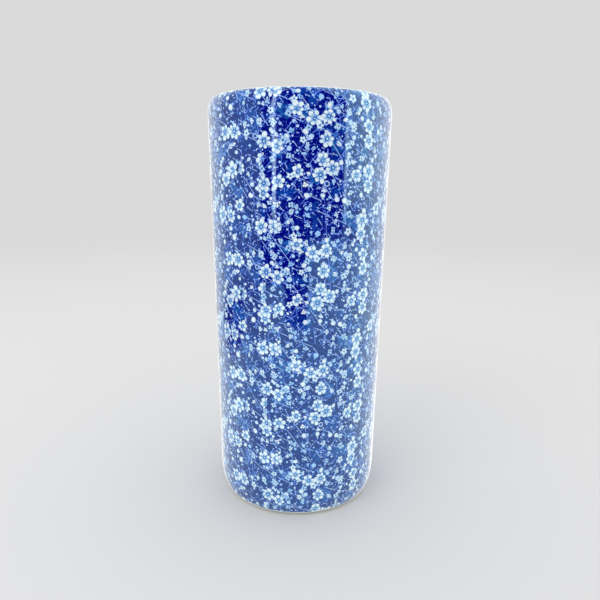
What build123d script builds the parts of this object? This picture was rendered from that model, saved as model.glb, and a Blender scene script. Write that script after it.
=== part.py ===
from build123d import *
import os
from math import cos, radians, sin

# A tall pottery vase with straight leaning sides, 300 mm high, on an unglazed foot ring.
# Wall, floor disc and foot ring are clay, luted together and fired as one mass. Wall and
# floor carry white glaze of no separate thickness, and the foot ring is wiped bare.
# Over the wall's outside lies a second coat, the blue print under clear glaze. It follows
# the clay at one thickness and rounds its bevels over, so it gives the lip and the heel
# their curves. White clay shows past its edges, on the crown and in the toe.
# Frame: millimetres, Z up along the vase's axis, origin on the table at the middle of the foot.

# Outside form
height = 300.0  # table to the crown of the lip
rim_diameter = 133.5  # where the wall ends and the lip begins
base_diameter = 125.5  # where the wall ends and the heel begins
lip_radius = 12.0  # rounding that carries the wall over onto the crown
lip_turn = 49.0  # degrees that the lip's rounding turns through
heel_level = 23.0  # where the wall ends and the heel begins, above the table
heel_radius = 80.0  # slow curve that draws the heel in
heel_turn = 14.0  # degrees that the heel's curve turns through

# Thicknesses
wall_thickness = 8.0  # clay and printed coat together
coat_thickness = 0.6
floor_thickness = 10.0

# Inside form
mouth_bevel_width = 2.5
mouth_bevel_drop = 3.0
cove_width = 7.0  # eased corner between the inside of the wall and the floor

# Foot
foot_diameter = 113.5
foot_height = 2.8  # table to the underside of the floor
foot_width = 6.5
foot_bevel = 0.7  # eased lower edges of the foot ring

# Where the forms meet
rim_radius = rim_diameter / 2
base_radius = base_diameter / 2
foot_radius = foot_diameter / 2
rim_level = height - lip_radius * sin(radians(lip_turn))
lean = (rim_radius - base_radius) / (rim_level - heel_level)
floor_level = foot_height + floor_thickness
cove_level = floor_level + cove_width
mouth_level = height - mouth_bevel_drop
toe_radius = base_radius - wall_thickness - cove_width  # inside of the wall's toe


def inside_radius(level):
    """Inside radius of the leaning wall at a level."""
    return rim_radius - wall_thickness - (rim_level - level) * lean


def lip_curve(depth, mode=Mode.ADD):
    """Rounding of the lip, upwards from the wall, at a depth under the finish."""
    start = (rim_radius - depth, rim_level)
    return JernArc(start, (0, 1), lip_radius - depth, lip_turn, mode=mode)


def heel_curve(depth, mode=Mode.ADD):
    """Slow curve of the heel, downwards from the wall, at a depth under the finish."""
    start = (base_radius - depth, heel_level)
    return JernArc(start, (0, -1), heel_radius - depth, -heel_turn, mode=mode)


def clay_under_coat():
    """Outside of the clay that the coat covers, from toe to crown, with plain bevels."""
    heel = heel_curve(coat_thickness, Mode.PRIVATE)
    lip = lip_curve(coat_thickness, Mode.PRIVATE)
    return Polyline(heel @ 1, heel @ 0, lip @ 0, lip @ 0.5, lip @ 1)


# Wall: crown, leaning side, heel and toe in one clay section
with BuildPart() as wall:
    with BuildSketch(Plane.XZ):
        with BuildLine():
            clay = clay_under_coat()
            crown_edge = lip_curve(0, Mode.PRIVATE) @ 1
            toe_edge = heel_curve(0, Mode.PRIVATE) @ 1
            Polyline(
                clay @ 1,
                crown_edge,
                (inside_radius(mouth_level) + mouth_bevel_width, height),
                (inside_radius(mouth_level), mouth_level),
                (inside_radius(cove_level), cove_level),
                (toe_radius, floor_level),
                (toe_radius, foot_height),
                (foot_radius, foot_height),
                toe_edge,
                clay @ 0,
            )
        make_face()
    revolve(axis=Axis.Z)

# Floor disc, luted into the wall's toe
with BuildPart() as floor_disc:
    with BuildSketch(Plane.XY.offset(foot_height)):
        Circle(toe_radius)
    extrude(amount=floor_thickness)

# Foot ring, luted under the wall's toe and wiped free of glaze before firing
with BuildPart() as foot_ring:
    with BuildSketch(Plane.XY):
        Circle(foot_radius)
        Circle(foot_radius - foot_width, mode=Mode.SUBTRACT)
    extrude(amount=foot_height)
    chamfer(foot_ring.faces().sort_by(Axis.Z)[0].edges(), length=foot_bevel)

# Printed glaze, from the toe up over heel, wall and lip
with BuildPart() as printed_glaze:
    with BuildSketch(Plane.XZ):
        with BuildLine():
            clay = clay_under_coat()
            heel = heel_curve(0)
            lip = lip_curve(0)
            Line(heel @ 0, lip @ 0)
            Line(heel @ 1, clay @ 0)
            Line(lip @ 1, clay @ 1)
        make_face()
    revolve(axis=Axis.Z)

wall.part.label = "wall"
floor_disc.part.label = "floor_disc"
foot_ring.part.label = "foot_ring"
printed_glaze.part.label = "printed_glaze"

os.makedirs("parts", exist_ok=True)
export_step(wall.part, "parts/wall.step")
export_step(floor_disc.part, "parts/floor_disc.step")
export_step(foot_ring.part, "parts/foot_ring.step")
export_step(printed_glaze.part, "parts/printed_glaze.step")
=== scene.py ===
from math import asin, cos, degrees, hypot, pi, radians, sin, tau

import bpy
from mathutils import Matrix, Vector

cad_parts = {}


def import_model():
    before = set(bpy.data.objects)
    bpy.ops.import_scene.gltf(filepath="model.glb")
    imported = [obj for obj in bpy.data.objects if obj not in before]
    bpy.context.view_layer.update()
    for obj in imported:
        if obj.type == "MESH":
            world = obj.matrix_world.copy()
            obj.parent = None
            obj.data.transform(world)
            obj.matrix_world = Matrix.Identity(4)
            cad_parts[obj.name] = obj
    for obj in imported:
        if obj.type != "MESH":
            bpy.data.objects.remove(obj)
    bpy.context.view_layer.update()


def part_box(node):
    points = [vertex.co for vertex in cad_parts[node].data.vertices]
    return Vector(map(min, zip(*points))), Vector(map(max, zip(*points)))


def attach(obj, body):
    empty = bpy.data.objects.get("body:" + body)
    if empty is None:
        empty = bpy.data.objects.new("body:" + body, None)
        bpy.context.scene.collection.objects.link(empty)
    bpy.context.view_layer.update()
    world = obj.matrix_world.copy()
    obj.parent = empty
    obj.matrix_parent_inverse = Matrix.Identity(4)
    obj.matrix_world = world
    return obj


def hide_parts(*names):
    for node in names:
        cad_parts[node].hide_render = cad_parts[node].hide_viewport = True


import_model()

# A tall pottery vase: an all-over blossom print under clear glaze on the outside, plain
# white glaze inside and underneath, and a bare foot ring. Metres, in the frame of the part:
# Z up, the front of the photo towards -Y.

MM = 0.001

# ---------------------------------------------------------------- sizes from the frame
coat_high, floor_high, foot_high = (
    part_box(node)[1] for node in ("printed_glaze", "floor_disc", "foot_ring")
)
height = coat_high.z
rim_radius = coat_high.x
floor_level = floor_high.z
foot_level = foot_high.z
foot_radius = foot_high.x
toe_radius = floor_high.x

# ---------------------------------------------------------------- sizes of the looks
base_radius = 62.75 * MM  # outside, where the heel begins
base_level = 23 * MM
coat_thickness = 0.6 * MM
lip_width, lip_rise = 5.0 * MM, 10.5 * MM  # outer rounding of the lip
mouth_width, mouth_drop = 2.9 * MM, 4.2 * MM  # inner rounding of the lip
heel_width = 5.7 * MM  # how far the heel would draw in if it ran on down to the table
heel_end = 2.4 * MM  # lowest point of the heel, where it tucks in to the foot ring
cove_width, cove_rise = 7 * MM, 7 * MM  # rounding inside, between wall and floor
foot_width = 6.5 * MM
foot_rounding = 0.8 * MM
segments = 288  # around the vase
visible = 0.97  # share of the baked map's height that the outside of the coat takes

rim_level = height - lip_rise
lean = (rim_radius - base_radius) / (rim_level - base_level)
crown_radius = rim_radius - lip_width
foot_inside = foot_radius - foot_width


# ---------------------------------------------------------------- meshes of revolution
def quarter(centre, across, up, start, end, steps):
    """Points of an elliptical arc about a centre, from one angle in degrees to another."""
    points = []
    for step in range(steps + 1):
        angle = radians(start + (end - start) * step / steps)
        points.append((centre[0] + across * cos(angle), centre[1] + up * sin(angle)))
    return points


def straight(start, end, steps):
    """Points inside a straight run, without its two ends."""
    return [
        (
            start[0] + (end[0] - start[0]) * step / steps,
            start[1] + (end[1] - start[1]) * step / steps,
        )
        for step in range(1, steps)
    ]


def inwards(points, depth):
    """The points moved square to their line, to the left of its direction."""
    moved = []
    for index, (radius, level) in enumerate(points):
        before = points[max(index - 1, 0)]
        after = points[min(index + 1, len(points) - 1)]
        run, rise = after[0] - before[0], after[1] - before[1]
        length = hypot(run, rise)
        moved.append((radius - rise / length * depth, level + run / length * depth))
    return moved


def outside_points():
    """Finished outside, upwards from the heel's lowest point to the crown."""
    heel_angle = -degrees(asin((base_level - heel_end) / base_level))
    heel_centre = base_radius - heel_width, base_level
    heel = quarter(heel_centre, heel_width, base_level, heel_angle, 0, 18)
    lip = quarter((crown_radius, rim_level), lip_width, lip_rise, 0, 90, 22)
    return heel + straight(heel[-1], lip[0], 60) + lip


def revolve(name, points, closed, sharp=(), bake_map=None):
    """Mesh object from a section turned about Z. A closed section is a ring, an open one runs
    from the axis to the axis. Rows named in sharp keep a crisp edge. bake_map gives, for each
    row, its height on the map that the pattern is baked to."""
    poles = [] if closed else [0, len(points) - 1]
    vertices, rows = [], []
    for index, (radius, level) in enumerate(points):
        if index in poles:
            rows.append([len(vertices)] * (segments + 1))
            vertices.append((0, 0, level))
            continue
        first = len(vertices)
        for segment in range(segments):
            angle = pi / 2 + tau * segment / segments
            vertices.append((radius * cos(angle), radius * sin(angle), level))
        rows.append([first + segment for segment in range(segments)] + [first])
    pairs = [(index, index + 1) for index in range(len(points) - 1)]
    if closed:
        pairs.append((len(points) - 1, 0))
    along = [0.0]
    for (radius, level), (next_radius, next_level) in zip(points, points[1:]):
        along.append(along[-1] + hypot(next_radius - radius, next_level - level))
    faces, place, chart = [], [], []
    for low, high in pairs:
        heights = along[low], along[high] if high else along[low]
        for segment in range(segments):
            corners = [
                (rows[low][segment], segment, 0),
                (rows[low][segment + 1], segment + 1, 0),
                (rows[high][segment + 1], segment + 1, 1),
                (rows[high][segment], segment, 1),
            ]
            if low in poles:
                corners.pop(0)
            if high in poles:
                corners.pop()
            faces.append([vertex for vertex, _, _ in corners])
            for _, column, end in corners:
                place += [column / segments, heights[end]]
                if bake_map:
                    chart += [column / segments, bake_map[(low, high)][end]]
    mesh = bpy.data.meshes.new(name)
    mesh.from_pydata(vertices, [], faces)
    layer = mesh.uv_layers.new(name="place")
    layer.uv.foreach_set("vector", place)
    if bake_map:
        layer = mesh.uv_layers.new(name="OFBake")
        layer.uv.foreach_set("vector", chart)
    mesh.shade_smooth()
    ring_of = {}
    for index, row in enumerate(rows):
        for vertex in row:
            ring_of[vertex] = index
    for edge in mesh.edges:
        ends = {ring_of[vertex] for vertex in edge.vertices}
        if len(ends) == 1 and ends <= set(sharp):
            edge.use_edge_sharp = True
    mesh.validate()
    thing = bpy.data.objects.new(name, mesh)
    bpy.context.scene.collection.objects.link(thing)
    return thing


def add_piece(thing, material, nodes):
    """Joins a piece to the part: its body, its material and the CAD nodes it stands for."""
    thing.data.materials.append(material)
    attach(thing, "root")
    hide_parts(*nodes)
    return thing


# ---------------------------------------------------------------- writing node trees
class Tree:
    """A node tree with a short call for each kind of node that the patterns need."""

    def __init__(self, tree):
        self.tree = tree

    def node(self, kind, **settings):
        made = self.tree.nodes.new(kind)
        for name, value in settings.items():
            setattr(made, name, value)
        return made

    def feed(self, socket, value):
        if isinstance(value, bpy.types.NodeSocket):
            self.tree.links.new(value, socket)
        elif value is not None:
            socket.default_value = value

    def math(self, operation, *values):
        made = self.node("ShaderNodeMath", operation=operation)
        for socket, value in zip(made.inputs, values):
            self.feed(socket, value)
        return made.outputs[0]

    def vector(self, operation, *values):
        made = self.node("ShaderNodeVectorMath", operation=operation)
        for socket, value in zip(made.inputs, values):
            self.feed(socket, value)
        scalar = operation in ("LENGTH", "DISTANCE", "DOT_PRODUCT")
        return made.outputs["Value" if scalar else "Vector"]

    def scaled(self, vector, factor):
        made = self.node("ShaderNodeVectorMath", operation="SCALE")
        self.feed(made.inputs[0], vector)
        self.feed(made.inputs["Scale"], factor)
        return made.outputs["Vector"]

    def step(self, value, start, end, low=0.0, high=1.0):
        """Smooth step from low at start to high at end."""
        made = self.node("ShaderNodeMapRange", interpolation_type="SMOOTHSTEP")
        for name, given in zip(("Value", "From Min", "From Max", "To Min", "To Max"),
                               (value, start, end, low, high)):
            self.feed(made.inputs[name], given)
        return made.outputs[0]

    def line(self, value, start, end, low, high):
        """Straight ramp from low at start to high at end, held beyond them."""
        made = self.node("ShaderNodeMapRange")
        for name, given in zip(("Value", "From Min", "From Max", "To Min", "To Max"),
                               (value, start, end, low, high)):
            self.feed(made.inputs[name], given)
        return made.outputs[0]

    def parts(self, vector, axes):
        """The named parts of a vector. A separating node would leave its other outputs on the
        renderer's stack, which overfills it in a tree of this size."""
        units = {"x": (1, 0, 0), "y": (0, 1, 0), "z": (0, 0, 1)}
        return [self.vector("DOT_PRODUCT", vector, units[axis]) for axis in axes]

    def join(self, *values):
        made = self.node("ShaderNodeCombineXYZ")
        for socket, value in zip(made.inputs, values):
            self.feed(socket, value)
        return made.outputs[0]

    def dice(self, vector):
        """Three chance numbers from 0 to 1 that stay the same for the same vector."""
        made = self.node("ShaderNodeTexWhiteNoise", noise_dimensions="3D")
        self.feed(made.inputs["Vector"], vector)
        return made.outputs["Color"]

    def noise(self, vector, scale, detail=2.0, roughness=0.5):
        made = self.node("ShaderNodeTexNoise", noise_dimensions="3D")
        self.feed(made.inputs["Vector"], vector)
        self.feed(made.inputs["Scale"], scale)
        self.feed(made.inputs["Detail"], detail)
        self.feed(made.inputs["Roughness"], roughness)
        return made.outputs

    def blend(self, factor, under, over):
        """Colour over laid on colour under."""
        made = self.node("ShaderNodeMix", data_type="RGBA")
        self.feed(made.inputs["Factor"], factor)
        self.feed(made.inputs[6], under)
        self.feed(made.inputs[7], over)
        return made.outputs[2]

    def mix(self, factor, under, over):
        made = self.node("ShaderNodeMix", data_type="FLOAT")
        self.feed(made.inputs["Factor"], factor)
        self.feed(made.inputs[2], under)
        self.feed(made.inputs[3], over)
        return made.outputs[0]

    def choose(self, factor, under, over):
        """One shader or the other, or a mixture of the two."""
        made = self.node("ShaderNodeMixShader")
        for socket, value in zip(made.inputs, (factor, under, over)):
            self.feed(socket, value)
        return made.outputs[0]

    def use(self, group, **values):
        made = self.node("ShaderNodeGroup", node_tree=group)
        for name, value in values.items():
            self.feed(made.inputs[name], value)
        return made.outputs

    def ramp(self, value, stops):
        made = self.node("ShaderNodeValToRGB")
        self.feed(made.inputs[0], value)
        bar = made.color_ramp
        bar.elements[0].position, bar.elements[0].color = stops[0][0], (*stops[0][1], 1)
        bar.elements[1].position, bar.elements[1].color = stops[-1][0], (*stops[-1][1], 1)
        for place, colour in stops[1:-1]:
            bar.elements.new(place).color = (*colour, 1)
        return made.outputs[0]


def new_group(name, inputs, outputs):
    """An empty node group with its sockets. Returns the group, its tree, inputs and outputs."""
    group = bpy.data.node_groups.new(name, "ShaderNodeTree")
    kinds = {"f": "NodeSocketFloat", "v": "NodeSocketVector", "c": "NodeSocketColor"}
    for socket, kind in inputs.items():
        group.interface.new_socket(socket, in_out="INPUT", socket_type=kinds[kind])
    for socket, kind in outputs.items():
        group.interface.new_socket(socket, in_out="OUTPUT", socket_type=kinds[kind])
    tree = Tree(group)
    return group, tree, tree.node("NodeGroupInput").outputs, tree.node("NodeGroupOutput").inputs


# ---------------------------------------------------------------- the print
# It is drawn in millimetres on the unrolled outside, in tiles that repeat. Every motif sits
# in a cell of its own grid, moved, turned and left out by chance. The dice are thrown on
# the cell's place in the tile, so the tiles are alike and the last one meets the first.
# Sizes in this section are in millimetres, and each layer has its own seed.
tiles_around = 3
tile = (136.0, 83.5)

COBALT = (0.0006, 0.002, 0.22)  # the ground
COBALT_WASH = (0.003, 0.060, 0.40)  # clouds in the ground
VIOLET_LINE = (0.16, 0.30, 0.98)  # cracks and strokes
PALE_VIOLET = (0.43, 0.61, 1.0)
SPECK = (0.065, 0.22, 0.82)
BLEED = (0.032, 0.13, 0.68)  # rim of a dot, where the ground bled into it
SKY = (0.33, 0.63, 0.98)
PORCELAIN = (0.90, 0.99, 0.99)  # white of the blossoms
STAIN = (0.48, 0.66, 0.96)  # what the mottling takes the colours down to
PETAL_TONES = (  # from the eye of a blossom to its tips
    (0.0, (0.005, 0.045, 0.36)),
    (0.3, (0.06, 0.26, 0.67)),
    (0.6, (0.45, 0.67, 0.91)),
    (1.0, PORCELAIN),
)
SHADOW_TONES = (  # the same for the pale blossoms underneath
    (0.0, (0.004, 0.02, 0.27)),
    (1.0, (0.012, 0.11, 0.44)),
)


def scatter_group():
    """Where a point lies from the middle of the motif in its cell, and six chance numbers.
    Slide moves each row sideways, or each column up, by chance, so that no lines show."""
    group, tree, given, out = new_group(
        "scatter",
        {"Place": "v", "Cells": "v", "Stray": "v", "Slide": "v", "Seed": "f"},
        {"Local": "v", "Dice": "v", "More": "v"},
    )
    cell = tree.vector("DIVIDE", (*tile, 1), given["Cells"])
    grid = tree.vector("DIVIDE", given["Place"], cell)
    seed = tree.join(0, 0, given["Seed"])
    lane = tree.vector("WRAP", tree.vector("FLOOR", grid), given["Cells"], (0, 0, 0))
    held = tree.vector("SUBTRACT", (1, 1, 0), given["Slide"])
    lane = tree.vector("ADD", tree.vector("MULTIPLY", lane, held), seed)
    grid = tree.vector("ADD", grid, tree.vector("MULTIPLY", tree.dice(lane), given["Slide"]))
    corner = tree.vector("FLOOR", grid)
    kept = tree.vector("ADD", tree.vector("WRAP", corner, given["Cells"], (0, 0, 0)), seed)
    first = tree.dice(kept)
    second = tree.dice(tree.vector("ADD", kept, (0.37, 0.61, 0.5)))
    stray = tree.vector("MULTIPLY", tree.vector("SUBTRACT", first, (0.5, 0.5, 0.5)), given["Stray"])
    middle = tree.vector("ADD", corner, tree.vector("ADD", stray, (0.5, 0.5, 0)))
    local = tree.vector("MULTIPLY", tree.vector("SUBTRACT", grid, middle), cell)
    tree.feed(out["Local"], tree.vector("MULTIPLY", local, (1, 1, 0)))
    tree.feed(out["Dice"], first)
    tree.feed(out["More"], second)
    return group


def soft_edge(tree, away, soft):
    """1 inside an outline, 0 outside it. Away is 1 on the outline, and soft is the half width
    of the edge on the same scale."""
    return tree.step(away, tree.math("ADD", 1.0, soft), tree.math("SUBTRACT", 1.0, soft))


def blossom_group():
    """An open blossom: round petal tips about a disc that darkens towards a ringed eye."""
    group, tree, given, out = new_group(
        "blossom",
        {"Local": "v", "Radius": "f", "Turn": "f", "Petals": "f", "Open": "f", "Seed": "f"},
        {"Cover": "f", "Tone": "f"},
    )
    x, y = tree.parts(given["Local"], "xy")
    radius = given["Radius"]
    reach = tree.math("DIVIDE", tree.vector("LENGTH", given["Local"]), radius)
    bearing = tree.math("ADD", tree.math("ARCTAN2", y, x), given["Turn"])

    # the petal that this point belongs to, and how far across it the point lies
    slice_angle = tree.math("DIVIDE", tau, given["Petals"])
    turns = tree.math("DIVIDE", bearing, slice_angle)
    share = tree.math("SUBTRACT", tree.math("FRACT", turns), 0.5)
    across = tree.math("MULTIPLY", share, slice_angle)
    petal = tree.math("FLOORED_MODULO", tree.math("FLOOR", turns), given["Petals"])
    chance, second = tree.parts(tree.dice(tree.join(petal, given["Seed"], 0)), "xy")

    # each petal ends in a round lobe of its own size, and a disc joins them
    size = tree.line(chance, 0, 1, 0.80, 1.06)
    middle = tree.math("MULTIPLY", size, 0.70)
    half = tree.math("SINE", tree.math("DIVIDE", pi, given["Petals"]))
    lobe = tree.math("MULTIPLY", tree.line(second, 0, 1, 0.56, 0.78), half)
    lobe = tree.math("MULTIPLY", lobe, size)
    here = tree.join(
        tree.math("MULTIPLY", reach, tree.math("COSINE", across)),
        tree.math("MULTIPLY", reach, tree.math("SINE", across)),
        0,
    )
    away = tree.math("DIVIDE", tree.vector("DISTANCE", here, tree.join(middle, 0, 0)), lobe)
    blob = soft_edge(tree, away, tree.math("DIVIDE", 0.42, radius))
    disc = tree.step(reach, 0.68, 0.60)
    cover = tree.math("MAXIMUM", blob, disc)

    # a half-open one keeps the petals on one side
    wrapped = tree.math("ABSOLUTE", tree.math("WRAP", bearing, pi, -pi))
    limit = tree.math("MULTIPLY", given["Open"], pi)
    past = tree.math("SUBTRACT", wrapped, limit)
    opened = tree.step(past, 0.12, -0.12)
    tree.feed(out["Cover"], tree.math("MULTIPLY", cover, opened))

    # tones: pale tips, darker seams, rays and lace about the heart, a ring and a pale eye
    tip = tree.step(away, 0.70, 1.10, 1.0, 0.25)
    seam = tree.step(tree.math("ABSOLUTE", share), 0.30, 0.5, 0.0, 0.45)
    fan = tree.math("COSINE", tree.math("MULTIPLY", bearing, 17.0))
    rays = tree.math("MULTIPLY", tree.line(fan, -1, 1, -0.22, 0.22), tree.step(reach, 0.22, 0.35))
    heart = tree.math("SUBTRACT", tree.step(reach, 0.25, 0.66, 0.55, 0.86), seam)
    heart = tree.math("ADD", heart, rays)
    shifted = tree.vector("ADD", given["Local"], tree.join(0, 0, given["Seed"]))
    lace = tree.noise(shifted, 1.25, 1.0)["Fac"]
    heart = tree.math("ADD", heart, tree.line(lace, 0.3, 0.7, -0.38, 0.34))
    tip = tree.math("MULTIPLY", tip, tree.step(reach, 0.3, 0.7, 0.6, 1.0))
    tone = tree.mix(blob, heart, tip)
    ring = tree.step(tree.math("ABSOLUTE", tree.math("SUBTRACT", reach, 0.21)), 0.12, 0.03)
    tone = tree.mix(tree.math("MULTIPLY", ring, 0.8), tone, 0.10)
    tone = tree.mix(tree.step(reach, 0.13, 0.05), tone, 0.85)
    tree.feed(out["Tone"], tone)
    return group


def floret_group():
    """A small blossom with plain petals, for florets and for the pale ones underneath."""
    group, tree, given, out = new_group(
        "floret",
        {"Local": "v", "Radius": "f", "Turn": "f", "Petals": "f"},
        {"Cover": "f", "Tone": "f"},
    )
    x, y = tree.parts(given["Local"], "xy")
    reach = tree.math("DIVIDE", tree.vector("LENGTH", given["Local"]), given["Radius"])
    bearing = tree.math("ADD", tree.math("ARCTAN2", y, x), given["Turn"])
    half_petals = tree.math("MULTIPLY", given["Petals"], 0.5)
    wave = tree.math("COSINE", tree.math("MULTIPLY", bearing, half_petals))
    wave = tree.math("POWER", tree.math("ABSOLUTE", wave), 0.6)
    share = tree.math("DIVIDE", reach, tree.line(wave, 0, 1, 0.38, 1.0))
    soft = tree.math("DIVIDE", 0.28, given["Radius"])
    tree.feed(out["Cover"], soft_edge(tree, share, soft))
    tone = tree.step(reach, 0.12, 0.42, 0.18, 1.0)
    tree.feed(out["Tone"], tree.math("MULTIPLY", tone, tree.step(share, 0.65, 1.05, 1.0, 0.35)))
    return group


def sprig_group():
    """Three short strokes that spread from a point, each with a dot at its end."""
    group, tree, given, out = new_group(
        "sprig",
        {"Local": "v", "Length": "f", "Turn": "f"},
        {"Cover": "f"},
    )
    x, y = tree.parts(given["Local"], "xy")
    away = tree.vector("LENGTH", given["Local"])
    bearing = tree.math("ADD", tree.math("ARCTAN2", y, x), given["Turn"])
    bearing = tree.math("WRAP", bearing, pi, -pi)
    spread = 0.55  # radians between strokes
    nearest = tree.math("ROUND", tree.math("DIVIDE", bearing, spread))
    nearest = tree.math("MULTIPLY", nearest, spread)
    nearest = tree.math("MINIMUM", tree.math("MAXIMUM", nearest, -spread), spread)
    off = tree.math("SUBTRACT", bearing, nearest)
    run = tree.math("MULTIPLY", away, tree.math("COSINE", off))
    side = tree.math("ABSOLUTE", tree.math("MULTIPLY", away, tree.math("SINE", off)))
    stroke = tree.math("MULTIPLY", tree.step(side, 0.42, 0.16), tree.step(run, 0.0, 0.2))
    past = tree.math("SUBTRACT", run, given["Length"])
    stroke = tree.math("MULTIPLY", stroke, tree.step(past, 0.15, -0.15))
    dot = tree.vector("DISTANCE", tree.join(run, side, 0), tree.join(given["Length"], 0, 0))
    tree.feed(out["Cover"], tree.math("MAXIMUM", stroke, tree.step(dot, 0.85, 0.5)))
    return group


def crack_group():
    """Straight cracks in one direction, shifted by chance and broken off here and there.
    Across is the direction square to them, with as many cracks to the millimetre as it is
    long. Count is how many there are before the tile repeats."""
    group, tree, given, out = new_group(
        "crack",
        {"Place": "v", "Where": "v", "Across": "v", "Count": "f", "Seed": "f"},
        {"Cover": "f"},
    )
    turns = tree.vector("DOT_PRODUCT", given["Place"], given["Across"])
    line = tree.math("FLOOR", turns)
    kept = tree.join(tree.math("WRAP", line, given["Count"], 0.0), given["Seed"], 0)
    chance, = tree.parts(tree.dice(kept), "x")
    off = tree.math("SUBTRACT", turns, line)
    off = tree.math("SUBTRACT", off, tree.line(chance, 0, 1, 0.1, 0.9))
    away = tree.math("DIVIDE", tree.math("ABSOLUTE", off), tree.vector("LENGTH", given["Across"]))
    broken = tree.vector("ADD", given["Where"], tree.join(0, 0, given["Seed"]))
    whole = tree.step(tree.noise(broken, 215.0, 0.0)["Fac"], 0.505, 0.535)
    tree.feed(out["Cover"], tree.math("MULTIPLY", tree.step(away, 0.30, 0.10), whole))
    return group


def stroke_group():
    """A round-ended brush stroke, bent to a V at its middle."""
    group, tree, given, out = new_group(
        "stroke",
        {"Local": "v", "Length": "f", "Width": "f", "Turn": "f", "Bend": "f"},
        {"Cover": "f"},
    )
    turned = tree.node("ShaderNodeVectorRotate", rotation_type="Z_AXIS")
    tree.feed(turned.inputs["Vector"], given["Local"])
    tree.feed(turned.inputs["Angle"], given["Turn"])
    x, y = tree.parts(turned.outputs[0], "xy")
    out_along = tree.math("ABSOLUTE", x)
    past = tree.math("MAXIMUM", tree.math("SUBTRACT", out_along, given["Length"]), 0.0)
    off = tree.math("ADD", y, tree.math("MULTIPLY", out_along, given["Bend"]))
    away = tree.math("DIVIDE", tree.vector("LENGTH", tree.join(past, off, 0)), given["Width"])
    tree.feed(out["Cover"], tree.step(away, 1.35, 0.65))
    return group


def in_turn(tree, vector, colour):
    """The vector, moved by far less than a number can hold. It now hangs on the colour, so the
    renderer works the layers out one after another: side by side they overfill its stack."""
    nothing = tree.math("MULTIPLY", colour, 1e-12)
    return tree.vector("ADD", vector, tree.join(nothing, nothing, nothing))


def scattered(tree, scatter, place, colour, cells, stray, seed, more):
    """One grid of motifs over a colour: the point from its motif's middle, one chance number
    for whether the motif is there, and as many more as are asked for. Cells counts the tile's
    cells across and up. Stray says how freely a motif moves in its cell, across and up, as a
    share of the cell's size."""
    made = tree.use(
        scatter,
        Place=in_turn(tree, place, colour),
        Cells=(*cells, 1),
        Stray=(*stray, 0),
        Slide=(seed % 2, 1 - seed % 2, 0),
        Seed=seed * 7.31,
    )
    return made["Local"], *tree.parts(made["Dice"], "z"), *tree.parts(made["More"], "xyz"[:more])


def present(tree, chance, share):
    """1 where a chance number is below the share of cells that are filled."""
    return tree.math("LESS_THAN", chance, share)


def lay(tree, colour, cover, chance, share, over):
    """Colour over, laid on the colour where a motif covers it, in that share of the cells."""
    return tree.blend(tree.math("MULTIPLY", cover, present(tree, chance, share)), colour, over)


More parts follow.
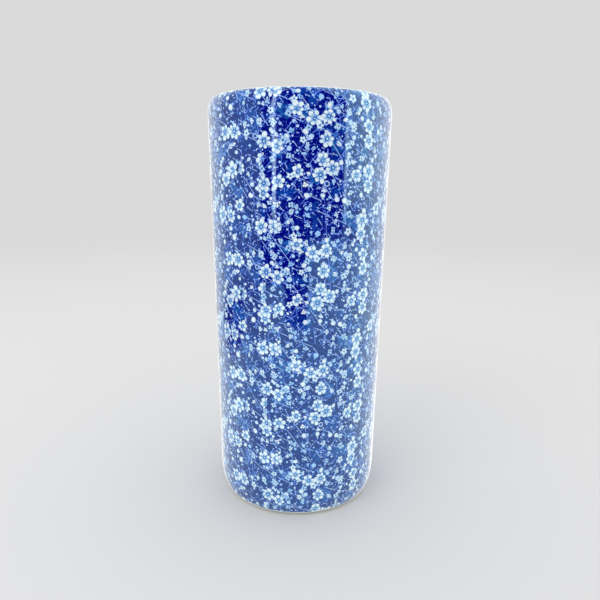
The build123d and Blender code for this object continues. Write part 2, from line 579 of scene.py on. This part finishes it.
def print_colours(tree):
    """Colour of the printed outside, with the places it is worked out from."""
    scatter, blossom = scatter_group(), blossom_group()
    floret, sprig, stroke, crack = floret_group(), sprig_group(), stroke_group(), crack_group()
    unrolled = tree.node("ShaderNodeUVMap", uv_map="place").outputs[0]
    solid = tree.node("ShaderNodeTexCoord").outputs["Object"]

    # the calm place is for straight lines, and the other one trembles as if drawn by hand
    calm = tree.vector("MULTIPLY", unrolled, (tile[0] * tiles_around, 1 / MM, 0))
    place = calm
    for scale, much in ((330.0, 0.9), (120.0, 1.8)):
        tremble = tree.vector("SUBTRACT", tree.noise(solid, scale, 1.0)["Color"], (0.5, 0.5, 0.5))
        place = tree.vector("ADD", place, tree.scaled(tremble, much))
    place = tree.vector("MULTIPLY", place, (1, 1, 0))

    # ground, with a paler wash in clouds
    clouds = tree.step(tree.noise(solid, 75.0, 2.0)["Fac"], 0.54, 0.70, 0.0, 0.85)
    colour = tree.blend(clouds, (*COBALT, 1), (*COBALT_WASH, 1))

    # pale blossoms underneath
    for seed in (2, 3):
        local, third, turn, size = scattered(
            tree, scatter, place, colour, (7, 4), (0.3, 0.3), seed, 2
        )
        made = tree.use(
            floret,
            Local=local,
            Radius=tree.line(size, 0, 1, 4.0, 5.6),
            Turn=tree.math("MULTIPLY", turn, tau),
            Petals=6.0,
        )
        over = tree.ramp(made["Tone"], SHADOW_TONES)
        colour = lay(tree, colour, made["Cover"], third, 0.36, over)

    # fine specks of paler blue
    specks = tree.noise(in_turn(tree, place, colour), 1.1, 1.0)["Fac"]
    colour = tree.blend(tree.step(specks, 0.62, 0.69, 0.0, 0.9), colour, (*SPECK, 1))

    # cracked ice: long straight cracks that cross, then short strokes, some of them bent
    for seed, count, slope in (
        (21, 12, 0.10),
        (22, 12, 0.72),
        (23, 12, -0.85),
        (24, 7, 2.3),
        (25, 7, -1.9),
    ):
        made = tree.use(
            crack,
            Place=in_turn(tree, calm, colour),
            Where=solid,
            Across=(count / tile[0], count * slope / tile[0], 0),
            Count=count,
            Seed=seed * 0.37,
        )
        colour = tree.blend(made["Cover"], colour, (*(VIOLET_LINE if seed % 2 else PALE_VIOLET), 1))
    for seed, cells, short, long, width, share in (
        (16, (12, 8), 1.2, 3.2, 0.22, 0.7),
        (17, (26, 15), 0.3, 1.4, 0.30, 0.6),
    ):
        local, third, turn, size, tint = scattered(
            tree, scatter, calm, colour, cells, (0.5, 0.5), seed, 3
        )
        made = tree.use(
            stroke,
            Local=local,
            Length=tree.line(size, 0, 1, short, long),
            Width=width,
            Turn=tree.math("MULTIPLY", turn, tau),
            Bend=tree.line(tint, 0.6, 1, 0.0, 0.6),
        )
        over = tree.blend(size, (*PALE_VIOLET, 1), (*VIOLET_LINE, 1))
        colour = lay(tree, colour, made["Cover"], third, share, over)

    # sprigs
    for seed in (6, 7):
        local, third, turn, size, tint = scattered(
            tree, scatter, place, colour, (14, 8), (0.35, 0.35), seed, 3
        )
        made = tree.use(
            sprig,
            Local=local,
            Length=tree.line(size, 0, 1, 1.4, 2.6),
            Turn=tree.math("MULTIPLY", turn, tau),
        )
        over = tree.blend(tint, (*SKY, 1), (*PORCELAIN, 1))
        colour = lay(tree, colour, made["Cover"], third, 0.45, over)

    # dots, and rings among the larger ones
    for seed, cells, small_end, large_end, rings in (
        (18, (35, 22), 0.30, 0.62, 0.0),
        (8, (21, 13), 0.45, 1.0, 0.15),
        (9, (19, 11), 0.7, 1.8, 0.4),
    ):
        local, third, size, kind, tint = scattered(
            tree, scatter, place, colour, cells, (0.4, 0.4), seed, 3
        )
        radius = tree.line(size, 0, 1, small_end, large_end)
        from_edge = tree.math("SUBTRACT", tree.vector("LENGTH", local), radius)
        cover = tree.step(from_edge, 0.38, 0.05)
        hole = tree.step(from_edge, -0.35, -0.65)
        over = tree.blend(tint, (*SKY, 1), (*PORCELAIN, 1))
        over = lay(tree, over, hole, kind, rings, (*COBALT_WASH, 1))
        over = tree.blend(tree.step(from_edge, -0.20, 0.12), over, (*BLEED, 1))
        colour = lay(tree, colour, cover, third, 0.50, over)

    # florets
    for seed in (10, 11):
        local, third, turn, size, kind = scattered(
            tree, scatter, place, colour, (14, 9), (0.4, 0.4), seed, 3
        )
        made = tree.use(
            floret,
            Local=local,
            Radius=tree.line(size, 0, 1, 1.5, 2.9),
            Turn=tree.math("MULTIPLY", turn, tau),
            Petals=tree.math("ADD", 4.0, tree.math("ROUND", kind)),
        )
        tone = tree.math("MULTIPLY", made["Tone"], tree.line(kind, 0, 1, 0.65, 1.05))
        colour = lay(tree, colour, made["Cover"], third, 0.26, tree.ramp(tone, PETAL_TONES))

    # single blossoms, a third of them half open
    fully, half_way = 1.2, 0.42  # how far round a blossom opens, as a share of a half turn
    local, third, turn, size, kind = scattered(
        tree, scatter, place, colour, (7, 4), (0.38, 0.38), 30, 3
    )
    made = tree.use(
        blossom,
        Local=local,
        Radius=tree.line(size, 0, 1, 4.1, 5.3),
        Turn=tree.math("MULTIPLY", turn, tau),
        Petals=tree.math("ADD", 6.0, tree.math("ROUND", size)),
        Open=tree.mix(present(tree, kind, 0.33), fully, half_way),
        Seed=third,
    )
    over = tree.ramp(made["Tone"], PETAL_TONES)
    colour = lay(tree, colour, made["Cover"], third, 0.42, over)

    # pairs of blossoms that overlap, set to either side of the middle of a cell
    local, third, turn, size, kind = scattered(
        tree, scatter, place, colour, (4, 3), (0.34, 0.20), 28, 3
    )
    bearing = tree.math("MULTIPLY", turn, tau)
    half = tree.join(tree.math("COSINE", bearing), tree.math("SINE", bearing), 0)
    half = tree.scaled(half, 4.6)
    for side, chance, petals, seed in (("ADD", kind, 6.0, 0.2), ("SUBTRACT", size, 7.0, 0.7)):
        made = tree.use(
            blossom,
            Local=tree.vector(side, local, half),
            Radius=tree.line(chance, 0, 1, 4.6, 5.6),
            Turn=tree.math("MULTIPLY", tree.math("ADD", turn, seed), tau),
            Petals=petals,
            Open=fully,
            Seed=tree.math("ADD", third, seed),
        )
        over = tree.ramp(made["Tone"], PETAL_TONES)
        colour = lay(tree, colour, made["Cover"], third, 0.8, over)

    # buds
    local, third, size = scattered(tree, scatter, place, colour, (9, 6), (0.5, 0.5), 14, 1)
    radius = tree.line(size, 0, 1, 1.1, 2.0)
    from_edge = tree.math("SUBTRACT", tree.vector("LENGTH", local), radius)
    cover = tree.step(from_edge, 0.2, -0.2)
    over = tree.ramp(tree.step(from_edge, 0.0, -1.0, 0.7, 1.0), PETAL_TONES)
    colour = lay(tree, colour, cover, third, 0.45, over)

    # bluish mottling where the print took unevenly
    uneven = tree.noise(in_turn(tree, place, colour), 0.95, 1.0)["Fac"]
    stained = tree.vector("MULTIPLY", colour, STAIN)
    colour = tree.blend(tree.step(uneven, 0.50, 0.64, 0.0, 0.72), colour, stained)
    return colour, unrolled, solid


# ---------------------------------------------------------------- the three materials
def new_material(name):
    """A material, its tree and its shader."""
    material = bpy.data.materials.new(name)
    material.use_nodes = True
    tree = Tree(material.node_tree)
    return material, tree, material.node_tree.nodes["Principled BSDF"]


def add_bump(tree, shader, height, strength, distance):
    """Fine relief from a height, for the gloss to break on."""
    bump = tree.node("ShaderNodeBump")
    tree.feed(bump.inputs["Height"], height)
    bump.inputs["Strength"].default_value = strength
    bump.inputs["Distance"].default_value = distance
    tree.feed(shader.inputs["Normal"], bump.outputs[0])


def printed_material():
    """Blossom print under a glossy clear glaze, with bare white at both ends of the coat."""
    material, tree, shader = new_material("printed_glaze")
    colour, unrolled, solid = print_colours(tree)
    bare_top, bare_bottom, edge = 1.6 * MM, 0.9 * MM, 0.3 * MM
    along, = tree.parts(unrolled, "y")
    uneven = tree.math("SUBTRACT", tree.noise(solid, 160.0, 2.0)["Fac"], 0.5)
    uneven = tree.math("MULTIPLY", uneven, 1.2 * MM)
    top = tree.math("ADD", tree.math("SUBTRACT", along, outside_length - bare_top), uneven)
    bottom = tree.math("SUBTRACT", bare_bottom, tree.math("ADD", along, uneven))
    bare = tree.math("MAXIMUM", tree.step(top, -edge, edge), tree.step(bottom, -edge, edge))
    tree.feed(shader.inputs["Base Color"], tree.blend(bare, colour, (0.78, 0.81, 0.81, 1)))
    ripple = tree.noise(solid, 42.0, 2.0, 0.4)["Fac"]
    peel = tree.noise(solid, 260.0, 2.0)["Fac"]
    tree.feed(shader.inputs["Roughness"], tree.line(ripple, 0.3, 0.7, 0.04, 0.09))
    height = tree.math("ADD", ripple, tree.math("MULTIPLY", peel, 0.05))
    add_bump(tree, shader, height, 0.22, 0.6 * MM)
    shader.inputs["IOR"].default_value = 1.6
    shader.inputs["Specular IOR Level"].default_value = 1.0
    shader.inputs["Specular Tint"].default_value = (0.41, 0.83, 0.79, 1)
    return material


def white_material():
    """White glaze, cooler where it pools and with a few fine specks."""
    material, tree, shader = new_material("white_glaze")
    solid = tree.node("ShaderNodeTexCoord").outputs["Object"]
    pools = tree.noise(solid, 38.0, 3.0)["Fac"]
    pooled = tree.step(pools, 0.35, 0.65)
    colour = tree.blend(pooled, (0.76, 0.79, 0.79, 1), (0.80, 0.81, 0.79, 1))
    specks = tree.node("ShaderNodeTexVoronoi")
    tree.feed(specks.inputs["Vector"], solid)
    specks.inputs["Scale"].default_value = 220.0
    chance, = tree.parts(specks.outputs["Color"], "x")
    spot = tree.math("MULTIPLY", tree.step(specks.outputs["Distance"], 0.10, 0.06), 0.45)
    colour = lay(tree, colour, spot, chance, 0.05, (0.30, 0.26, 0.22, 1))
    tree.feed(shader.inputs["Base Color"], colour)
    tree.feed(shader.inputs["Roughness"], tree.line(pools, 0.3, 0.7, 0.10, 0.16))
    add_bump(tree, shader, pools, 0.2, 0.6 * MM)
    shader.inputs["IOR"].default_value = 1.5
    return material


def foot_material():
    """Bare fired clay: fine grain, and a grey rub where the ring stands."""
    material, tree, shader = new_material("bare_foot")
    solid = tree.node("ShaderNodeTexCoord").outputs["Object"]
    grain = tree.noise(solid, 900.0, 4.0, 0.65)["Fac"]
    blotch = tree.noise(solid, 60.0, 3.0)["Fac"]
    colour = tree.blend(grain, (0.66, 0.60, 0.51, 1), (0.80, 0.75, 0.67, 1))
    colour = tree.blend(tree.step(blotch, 0.45, 0.7, 0.0, 0.5), colour, (0.74, 0.66, 0.55, 1))
    level, = tree.parts(solid, "z")
    rub = tree.math(
        "MULTIPLY", tree.step(level, 0.7 * MM, 0.1 * MM), tree.step(blotch, 0.35, 0.6, 0.3, 0.8)
    )
    colour = tree.blend(rub, colour, (0.45, 0.43, 0.40, 1))
    tree.feed(shader.inputs["Base Color"], colour)
    tree.feed(shader.inputs["Roughness"], tree.line(grain, 0.3, 0.7, 0.78, 0.9))
    add_bump(tree, shader, grain, 0.5, 0.2 * MM)
    return material


# ---------------------------------------------------------------- the pieces
outside = outside_points()
outside_length = sum(hypot(b[0] - a[0], b[1] - a[1]) for a, b in zip(outside, outside[1:]))


def printed_coat():
    """Printed and glazed coat: a thin closed shell over the outside."""
    inner = inwards(outside, coat_thickness)
    section = outside + inner[::-1]
    count = len(outside)
    bake_map, run = {}, 0.0
    for index, (start, end) in enumerate(zip(outside, outside[1:])):
        step = hypot(end[0] - start[0], end[1] - start[1])
        bake_map[(index, index + 1)] = tuple(
            visible * reached / outside_length for reached in (run, run + step)
        )
        run += step
    hidden = [(index, index + 1) for index in range(count - 1, 2 * count - 1)]
    hidden.append((2 * count - 1, 0))
    for index, pair in enumerate(hidden):
        bake_map[pair] = tuple(
            visible + (1 - visible) * (index + end) / len(hidden) for end in (0, 1)
        )
    thing = revolve("printed_coat", section, True, (0, count - 1, count, 2 * count - 1), bake_map)
    return add_piece(thing, printed_material(), ["printed_glaze"])


def white_body():
    """Wall and floor in white glaze: inside, crown, toe and underside."""
    mouth_level = height - mouth_drop
    inside = crown_radius - mouth_width
    cove_top = floor_level + cove_rise
    cove_out = inside - (mouth_level - cove_top) * lean
    section = [
        (0, foot_level),
        (toe_radius * 0.5, foot_level),
        (foot_inside, foot_level),
        (foot_radius - foot_width * 0.5, foot_level),
        (foot_radius, foot_level),
        outside[0],
    ]
    toe_rows = len(section)
    section += inwards(outside, coat_thickness)
    mouth = quarter((crown_radius, mouth_level), mouth_width, mouth_drop, 90, 180, 16)
    cove = quarter((cove_out - cove_width, cove_top), cove_width, cove_rise, 0, -90, 12)
    section += mouth + straight(mouth[-1], (cove_out, cove_top), 40) + cove
    section += [(cove[-1][0] * share, floor_level) for share in (0.75, 0.5, 0.25, 0)]
    sharp = (toe_rows - 1, toe_rows, toe_rows + len(outside))
    thing = revolve("white_body", section, False, sharp)
    return add_piece(thing, white_material(), ["wall", "floor_disc"])


def foot():
    """Foot ring with its lower edges rounded by wear."""
    out_corner = (foot_radius - foot_rounding, foot_rounding)
    in_corner = (foot_inside + foot_rounding, foot_rounding)
    section = [(foot_inside, foot_level)]
    section += quarter(in_corner, foot_rounding, foot_rounding, 180, 270, 8)
    section += straight((in_corner[0], 0), (out_corner[0], 0), 5)
    section += quarter(out_corner, foot_rounding, foot_rounding, -90, 0, 8)
    section += [(foot_radius, foot_level)]
    thing = revolve("foot", section, True, (0, len(section) - 1))
    return add_piece(thing, foot_material(), ["foot_ring"])


printed_coat()
white_body()
foot()


# ---------------------------------------------------------------- stage, light and camera
# What the gloss of the vase sees: a pale room and tabletop all round, with a dim part of the
# room in front, beyond the table's front edge. A narrow bright gap stands at each side of the
# dim part. On the floor all of this is painted reflection: the floor glows for glossy rays
# only, though it is no lamp, with painted bright strips for the gaps, a painted dark patch
# where a pot would stand on the table to the left, and a painted dim patch where a low chest
# would stand far off to the right; no pot or chest is in the scene.
# Bearings are in degrees from the front, to the right, and distances in metres. Each edge is
# a pair of numbers, where its ramp starts and where it ends.
PALE_LEFT = (1.0, 0.965, 0.85, 1)
PALE_RIGHT = (1.0, 0.965, 0.92, 1)
GLINT = (1.0, 0.65, 0.85, 1)
BACKDROP = (0.70, 0.70, 0.70, 1)
FLOOR = (0.72, 0.72, 0.72, 1)
daylight = 1.04

front_shine, back_shine, shine_ramp = 1.08, 1.85, (45, 110)
behind_loss, behind_ramp = 0.45, (115, 165)  # what the room loses again right behind
left_tilt, right_tilt = 0.91, 1.09  # how bright the two sides are against each other
left_dimming, left_edges = 0.5, ((-126, -102), (-55, -40))
left_start = (0.4, 0.6)  # the table isn't dimmed closer to the vase than this
table_share = 0.92  # how bright the table is, as a share of the room
glint_shine, right_glint = 5.5, 0.5
left_gap, right_gap = ((-33.6, -32.2), (-29.2, -27.8)), ((56.0, 57.5), (60.0, 61.5))
# On the floor the gaps are painted glint strips in its glow for glossy rays.
gap_start = (2.0, 3.0)  # how far out on the floor the gaps begin
room_edges = (-52.0, -46.0), (54.0, 60.0)
table_left, table_middle, table_right = 0.84, 0.52, 1.54  # where the table ends
middle_edges = (-18, -14), (10, 14)
# Painted reflection: a dark round patch in the floor's glossy glow where a pot would stand.
painted_pot_reflection_place, painted_pot_reflection_edge, painted_pot_reflection_dimming = (-0.60, 0.04, 0), (0.17, 0.27), 0.92
# Painted reflection: a dim patch in the floor's glossy glow where a low chest would stand.
painted_chest_reflection_edges, painted_chest_reflection_depth, painted_chest_reflection_dimming = ((52, 58), (74, 88)), ((1.45, 1.6), (3.4, 4.6)), 0.6
fade = (0.5, 2.2)  # where the floor turns into the backdrop for the camera


def between(tree, value, low, high):
    """1 between two edges, 0 beyond them."""
    return tree.math("MULTIPLY", tree.step(value, *low), tree.step(value, high[1], high[0]))


def bearing_of(tree, x, y):
    """Bearing in degrees of a direction."""
    return tree.math("MULTIPLY", tree.math("ARCTAN2", x, tree.math("MULTIPLY", y, -1.0)), 180 / pi)


def glint_at(tree, bearing):
    """1 where a bearing looks into a bright gap, and less for the weaker one on the right."""
    right = tree.math("MULTIPLY", between(tree, bearing, *right_gap), right_glint)
    return tree.math("MAXIMUM", between(tree, bearing, *left_gap), right)


def room_shine(tree, bearing, left_share=1.0):
    """How bright the pale room is at a bearing."""
    left = tree.math("MULTIPLY", between(tree, bearing, *left_edges), left_share)
    turned = tree.math("ABSOLUTE", bearing)
    even = tree.line(turned, *shine_ramp, front_shine, back_shine)
    even = tree.math("SUBTRACT", even, tree.line(turned, *behind_ramp, 0.0, behind_loss))
    even = tree.math("MULTIPLY", even, tree.line(bearing, -90, 90, left_tilt, right_tilt))
    return tree.math("MULTIPLY", even, tree.mix(left, 1.0, left_dimming))


def room_colour(tree, bearing, glint):
    """Colour of what the gloss sees at a bearing: warmer to the left, pinkish in the gaps."""
    pale = tree.blend(tree.step(bearing, -60, 60), PALE_LEFT, PALE_RIGHT)
    return tree.blend(glint, pale, GLINT)


def floor_gloss(tree, x, y, away):
    """Colour and strength of the floor's painted reflections: its glow for glossy rays only, with
    painted bright strips and painted dark patches for a pot and a chest.
    """
    bearing = bearing_of(tree, x, y)
    left_end, right_end = middle_edges
    front = tree.math(
        "ADD",
        tree.step(bearing, *left_end, table_left, table_middle),
        tree.step(bearing, *right_end, 0, table_right - table_middle),
    )
    beyond = tree.step(tree.math("SUBTRACT", away, front), -0.02, 0.02)
    dim = tree.math("MULTIPLY", beyond, between(tree, bearing, *room_edges))
    # Painted reflection of a pot: a dark round patch in the glow.
    from_painted_pot_reflection = tree.vector("DISTANCE", tree.join(x, y, 0), painted_pot_reflection_place)
    dim = tree.math("MAXIMUM", dim, tree.step(from_painted_pot_reflection, painted_pot_reflection_edge[1], painted_pot_reflection_edge[0], 0.0, painted_pot_reflection_dimming))
    # Painted reflection of a low chest far to the right: a dim patch in the glow.
    painted_chest_reflection = tree.math("MULTIPLY", between(tree, bearing, *painted_chest_reflection_edges), painted_chest_reflection_dimming)
    painted_chest_reflection = tree.math("MULTIPLY", painted_chest_reflection, between(tree, away, *painted_chest_reflection_depth))
    dim = tree.math("MAXIMUM", dim, painted_chest_reflection)
    glint = tree.math("MULTIPLY", tree.step(away, *gap_start), glint_at(tree, bearing))
    shine = room_shine(tree, bearing, tree.step(away, *left_start))
    shine = tree.mix(dim, tree.math("MULTIPLY", shine, table_share), 0.0)
    return room_colour(tree, bearing, glint), tree.mix(glint, shine, glint_shine)


def floor():
    """Wide pale tabletop, plain to the camera and to diffuse light. For glossy rays it glows with
    the painted reflections above, though it is no lamp.
    """
    mesh = bpy.data.meshes.new("floor")
    size = 6.0
    corners = [(-size, -size, 0), (size, -size, 0), (size, size, 0), (-size, size, 0)]
    mesh.from_pydata(corners, [], [(0, 1, 2, 3)])
    thing = bpy.data.objects.new("floor", mesh)
    bpy.context.scene.collection.objects.link(thing)
    material, tree, shader = new_material("floor")
    shader.inputs["Base Color"].default_value = FLOOR
    shader.inputs["Roughness"].default_value = 0.8
    shader.inputs["Specular IOR Level"].default_value = 0.0
    position = tree.node("ShaderNodeNewGeometry").outputs["Position"]
    x, y = tree.parts(position, "xy")
    away = tree.vector("LENGTH", position)
    # Painted reflection: an emission that only glossy rays see, so the floor glows in the vase's
    # gloss.
    gloss = tree.node("ShaderNodeEmission")
    colour, strength = floor_gloss(tree, x, y, away)
    tree.feed(gloss.inputs["Color"], colour)
    tree.feed(gloss.inputs["Strength"], strength)
    backdrop = tree.node("ShaderNodeEmission")
    backdrop.inputs["Color"].default_value = BACKDROP
    path = tree.node("ShaderNodeLightPath").outputs
    faded = tree.math("MULTIPLY", tree.step(away, *fade), path["Is Camera Ray"])
    shown = tree.choose(faded, shader.outputs[0], backdrop.outputs[0])
    shown = tree.choose(path["Is Glossy Ray"], shown, gloss.outputs[0])
    tree.feed(material.node_tree.nodes["Material Output"].inputs[0], shown)
    mesh.materials.append(material)
    return thing


def world():
    """Even pale surroundings, plain to the camera and to diffuse light. Gloss sees the room."""
    made = bpy.data.worlds.new("world")
    bpy.context.scene.world = made
    made.use_nodes = True
    made.node_tree.nodes.clear()
    tree = Tree(made.node_tree)
    path = tree.node("ShaderNodeLightPath").outputs
    x, y = tree.parts(tree.node("ShaderNodeTexCoord").outputs["Generated"], "xy")
    bearing = bearing_of(tree, x, y)
    glint = glint_at(tree, bearing)
    seen = tree.mix(between(tree, bearing, *room_edges), room_shine(tree, bearing), 0.0)
    plain = tree.node("ShaderNodeBackground")
    plain.inputs["Color"].default_value = (1, 1, 1, 1)
    plain.inputs["Strength"].default_value = daylight
    gloss = tree.node("ShaderNodeBackground")
    tree.feed(gloss.inputs["Color"], room_colour(tree, bearing, glint))
    tree.feed(gloss.inputs["Strength"], tree.mix(glint, seen, glint_shine))
    backdrop = tree.node("ShaderNodeBackground")
    backdrop.inputs["Color"].default_value = BACKDROP
    shown = tree.choose(path["Is Glossy Ray"], plain.outputs[0], gloss.outputs[0])
    clear = tree.math("MAXIMUM", path["Is Camera Ray"], path["Is Transmission Ray"])
    shown = tree.choose(clear, shown, backdrop.outputs[0])
    tree.feed(tree.node("ShaderNodeOutputWorld").inputs[0], shown)


def softbox(name, place, aim, size, power):
    """Large soft lamp that gloss doesn't see."""
    lamp = bpy.data.lights.new(name, "AREA")
    lamp.shape = "SQUARE"
    lamp.size = size
    lamp.energy = power
    thing = bpy.data.objects.new(name, lamp)
    bpy.context.scene.collection.objects.link(thing)
    thing.location = place
    thing.rotation_euler = (Vector(aim) - Vector(place)).to_track_quat("-Z", "Y").to_euler()
    thing.visible_glossy = False
    return thing


def camera():
    """Close wide view from a little below the crown, tilted down."""
    lens, distance, side, eye = 31.27, 0.4032, 0.0013, 0.2418  # millimetres, then metres
    tilt, roll = radians(12.64), 0.0088
    made = bpy.data.cameras.new("camera")
    made.lens = lens
    thing = bpy.data.objects.new("camera", made)
    bpy.context.scene.collection.objects.link(thing)
    thing.matrix_world = (
        Matrix.Translation((side, -distance, eye))
        @ Matrix.Rotation(pi / 2 - tilt, 4, "X")
        @ Matrix.Rotation(roll, 4, "Z")
    )
    bpy.context.scene.camera = thing


floor()
world()
softbox("key", (-0.7, -0.8, 1.1), (0, 0, 0.15), 0.8, 2.6)
camera()
bpy.context.scene.view_settings.view_transform = "Standard"
